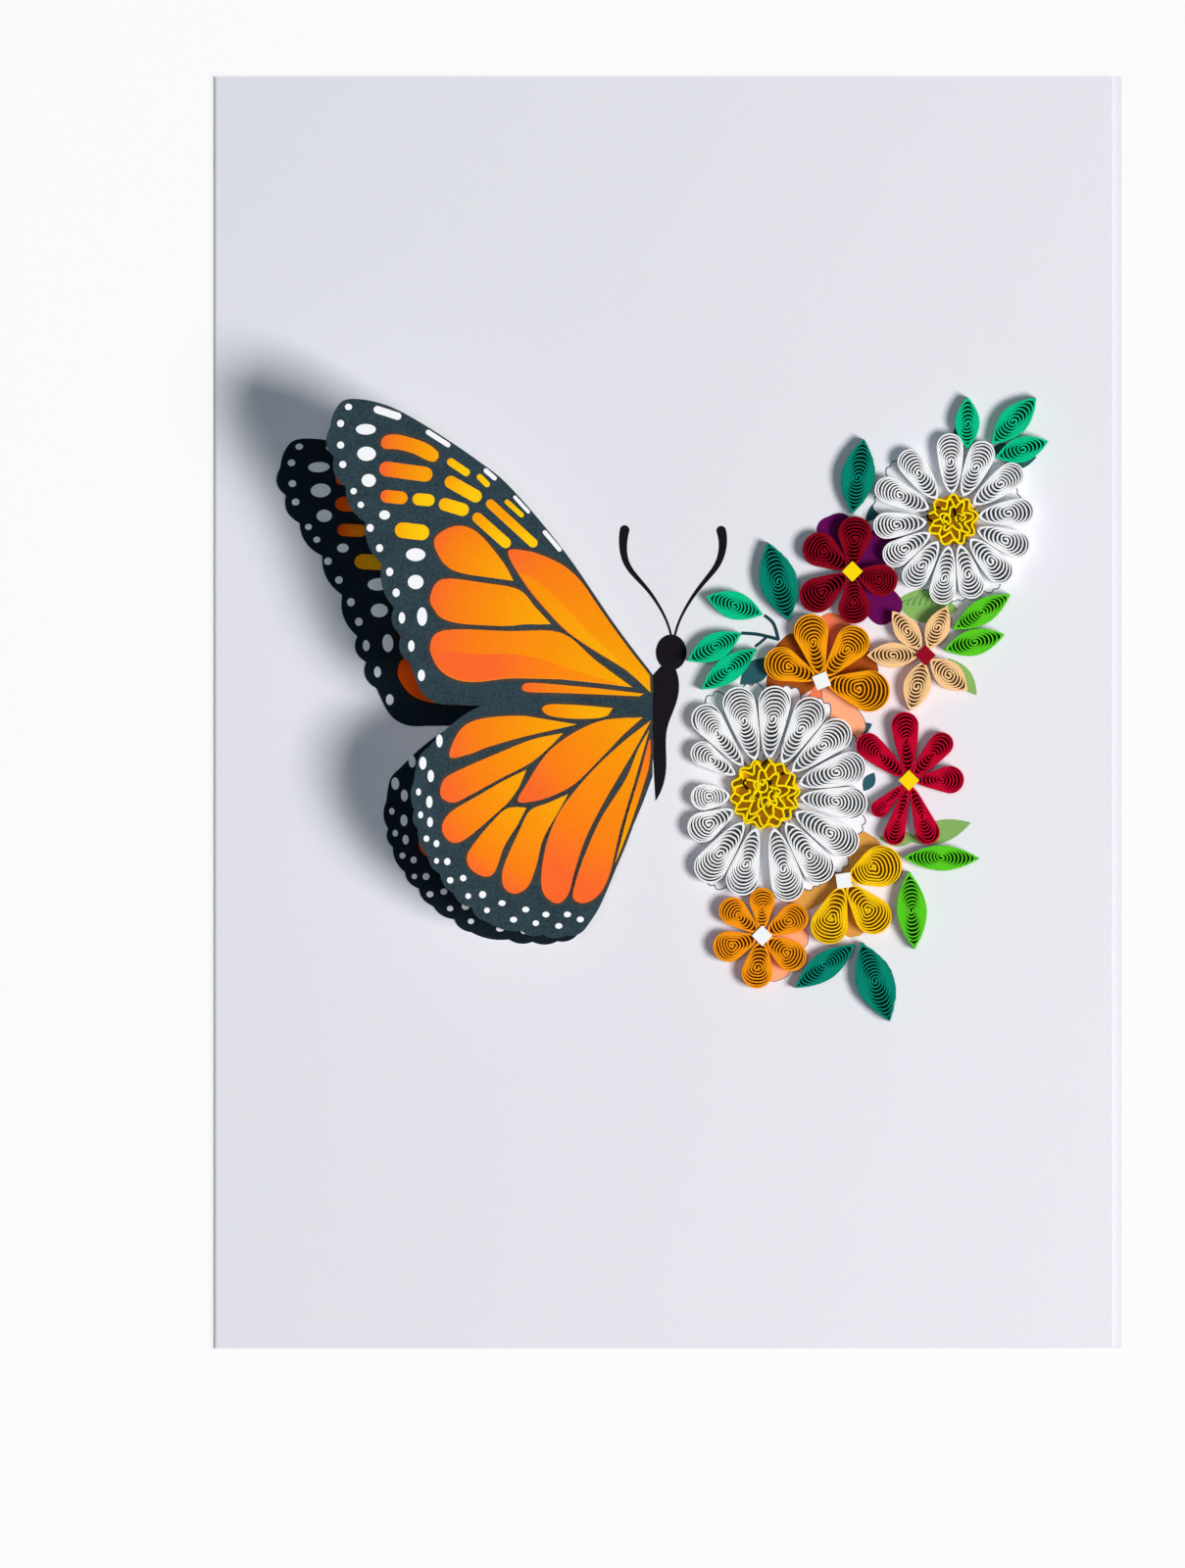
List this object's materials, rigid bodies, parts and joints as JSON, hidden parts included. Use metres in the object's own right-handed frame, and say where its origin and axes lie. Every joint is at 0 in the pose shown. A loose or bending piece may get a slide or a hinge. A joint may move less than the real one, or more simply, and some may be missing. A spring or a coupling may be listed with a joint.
{
  "type": "quilled paper butterfly card",
  "caption": "Greeting card with a butterfly on its face: one raised printed paper wing, and one wing of quilled paper flowers and leaves.",
  "frame": {"origin": "middle of the card's back face, where it rests", "axes": "+Z out of the card's face, +Y up the card, +X to the right as the card is looked at"},
  "size_m": [0.127, 0.1778, 0.0256],
  "materials": {
    "body_ink": "matt printed ink",
    "card_paper": "smooth matt lilac-white card",
    "crimson_strip": "matt quilling paper",
    "gold_strip": "matt quilling paper",
    "leaves_ink": "matt printed ink",
    "lime_strip": "matt quilling paper",
    "maroon_card": "matt cut card",
    "mint_strip": "matt quilling paper",
    "orange_ink": "matt printed ink",
    "orange_strip": "matt quilling paper",
    "peach_strip": "matt quilling paper",
    "petals_ink": "matt printed ink",
    "red_strip": "matt quilling paper",
    "small_orange_strip": "matt quilling paper",
    "teal_strip": "matt quilling paper",
    "white_card": "matt cut card",
    "white_ink": "bare paper in the print",
    "white_strip": "matt quilling paper",
    "wing_paper": "matt printed paper, slate ground with fine grain",
    "yellow_card": "matt cut card",
    "yellow_ink": "matt printed ink",
    "yellow_strip": "crimped quilling paper"
  },
  "bodies": {
    "root": {"bottom_leaf_left": "teal_strip", "bottom_leaf_right": "teal_strip", "bright_leaf_bottom": "lime_strip", "bright_leaf_top": "lime_strip", "card": "card_paper", "crimson_petal_1": "crimson_strip", "crimson_petal_2": "crimson_strip", "crimson_petal_3": "crimson_strip", "crimson_petal_4": "crimson_strip", "crimson_petal_5": "crimson_strip", "crimson_square": "yellow_card", "large_daisy_eye": "yellow_strip", "large_daisy_petals": "white_strip", "lime_leaf_down": "lime_strip", "lime_leaf_right": "lime_strip", "lower_wing": "wing_paper", "lower_wing_orange": "orange_ink", "lower_wing_white": "white_ink", "middle_teal_leaf": "teal_strip", "orange_petal_1": "orange_strip", "orange_petal_2": "orange_strip", "orange_petal_3": "orange_strip", "orange_petal_4": "orange_strip", "orange_square": "white_card", "peach_petal_1": "peach_strip", "peach_petal_2": "peach_strip", "peach_petal_3": "peach_strip", "peach_petal_4": "peach_strip", "peach_petal_5": "peach_strip", "peach_square": "maroon_card", "printed_body": "body_ink", "printed_leaves": "leaves_ink", "printed_petals": "petals_ink", "red_petal_1": "red_strip", "red_petal_2": "red_strip", "red_petal_3": "red_strip", "red_petal_4": "red_strip", "red_petal_5": "red_strip", "red_petal_6": "red_strip", "red_petal_7": "red_strip", "red_square": "yellow_card", "small_daisy_eye": "yellow_strip", "small_daisy_petals": "white_strip", "small_orange_petals": "small_orange_strip", "small_orange_square": "white_card", "sprig_leaf_bottom": "mint_strip", "sprig_leaf_middle": "mint_strip", "sprig_leaf_top": "mint_strip", "top_leaf_left": "mint_strip", "top_leaf_middle": "mint_strip", "top_leaf_right": "mint_strip", "upper_teal_leaf": "teal_strip", "upper_wing": "wing_paper", "upper_wing_orange": "orange_ink", "upper_wing_white": "white_ink", "upper_wing_yellow": "yellow_ink", "yellow_petal_1": "gold_strip", "yellow_petal_2": "gold_strip", "yellow_petal_3": "gold_strip", "yellow_square": "white_card"}
  },
  "joints": []
}
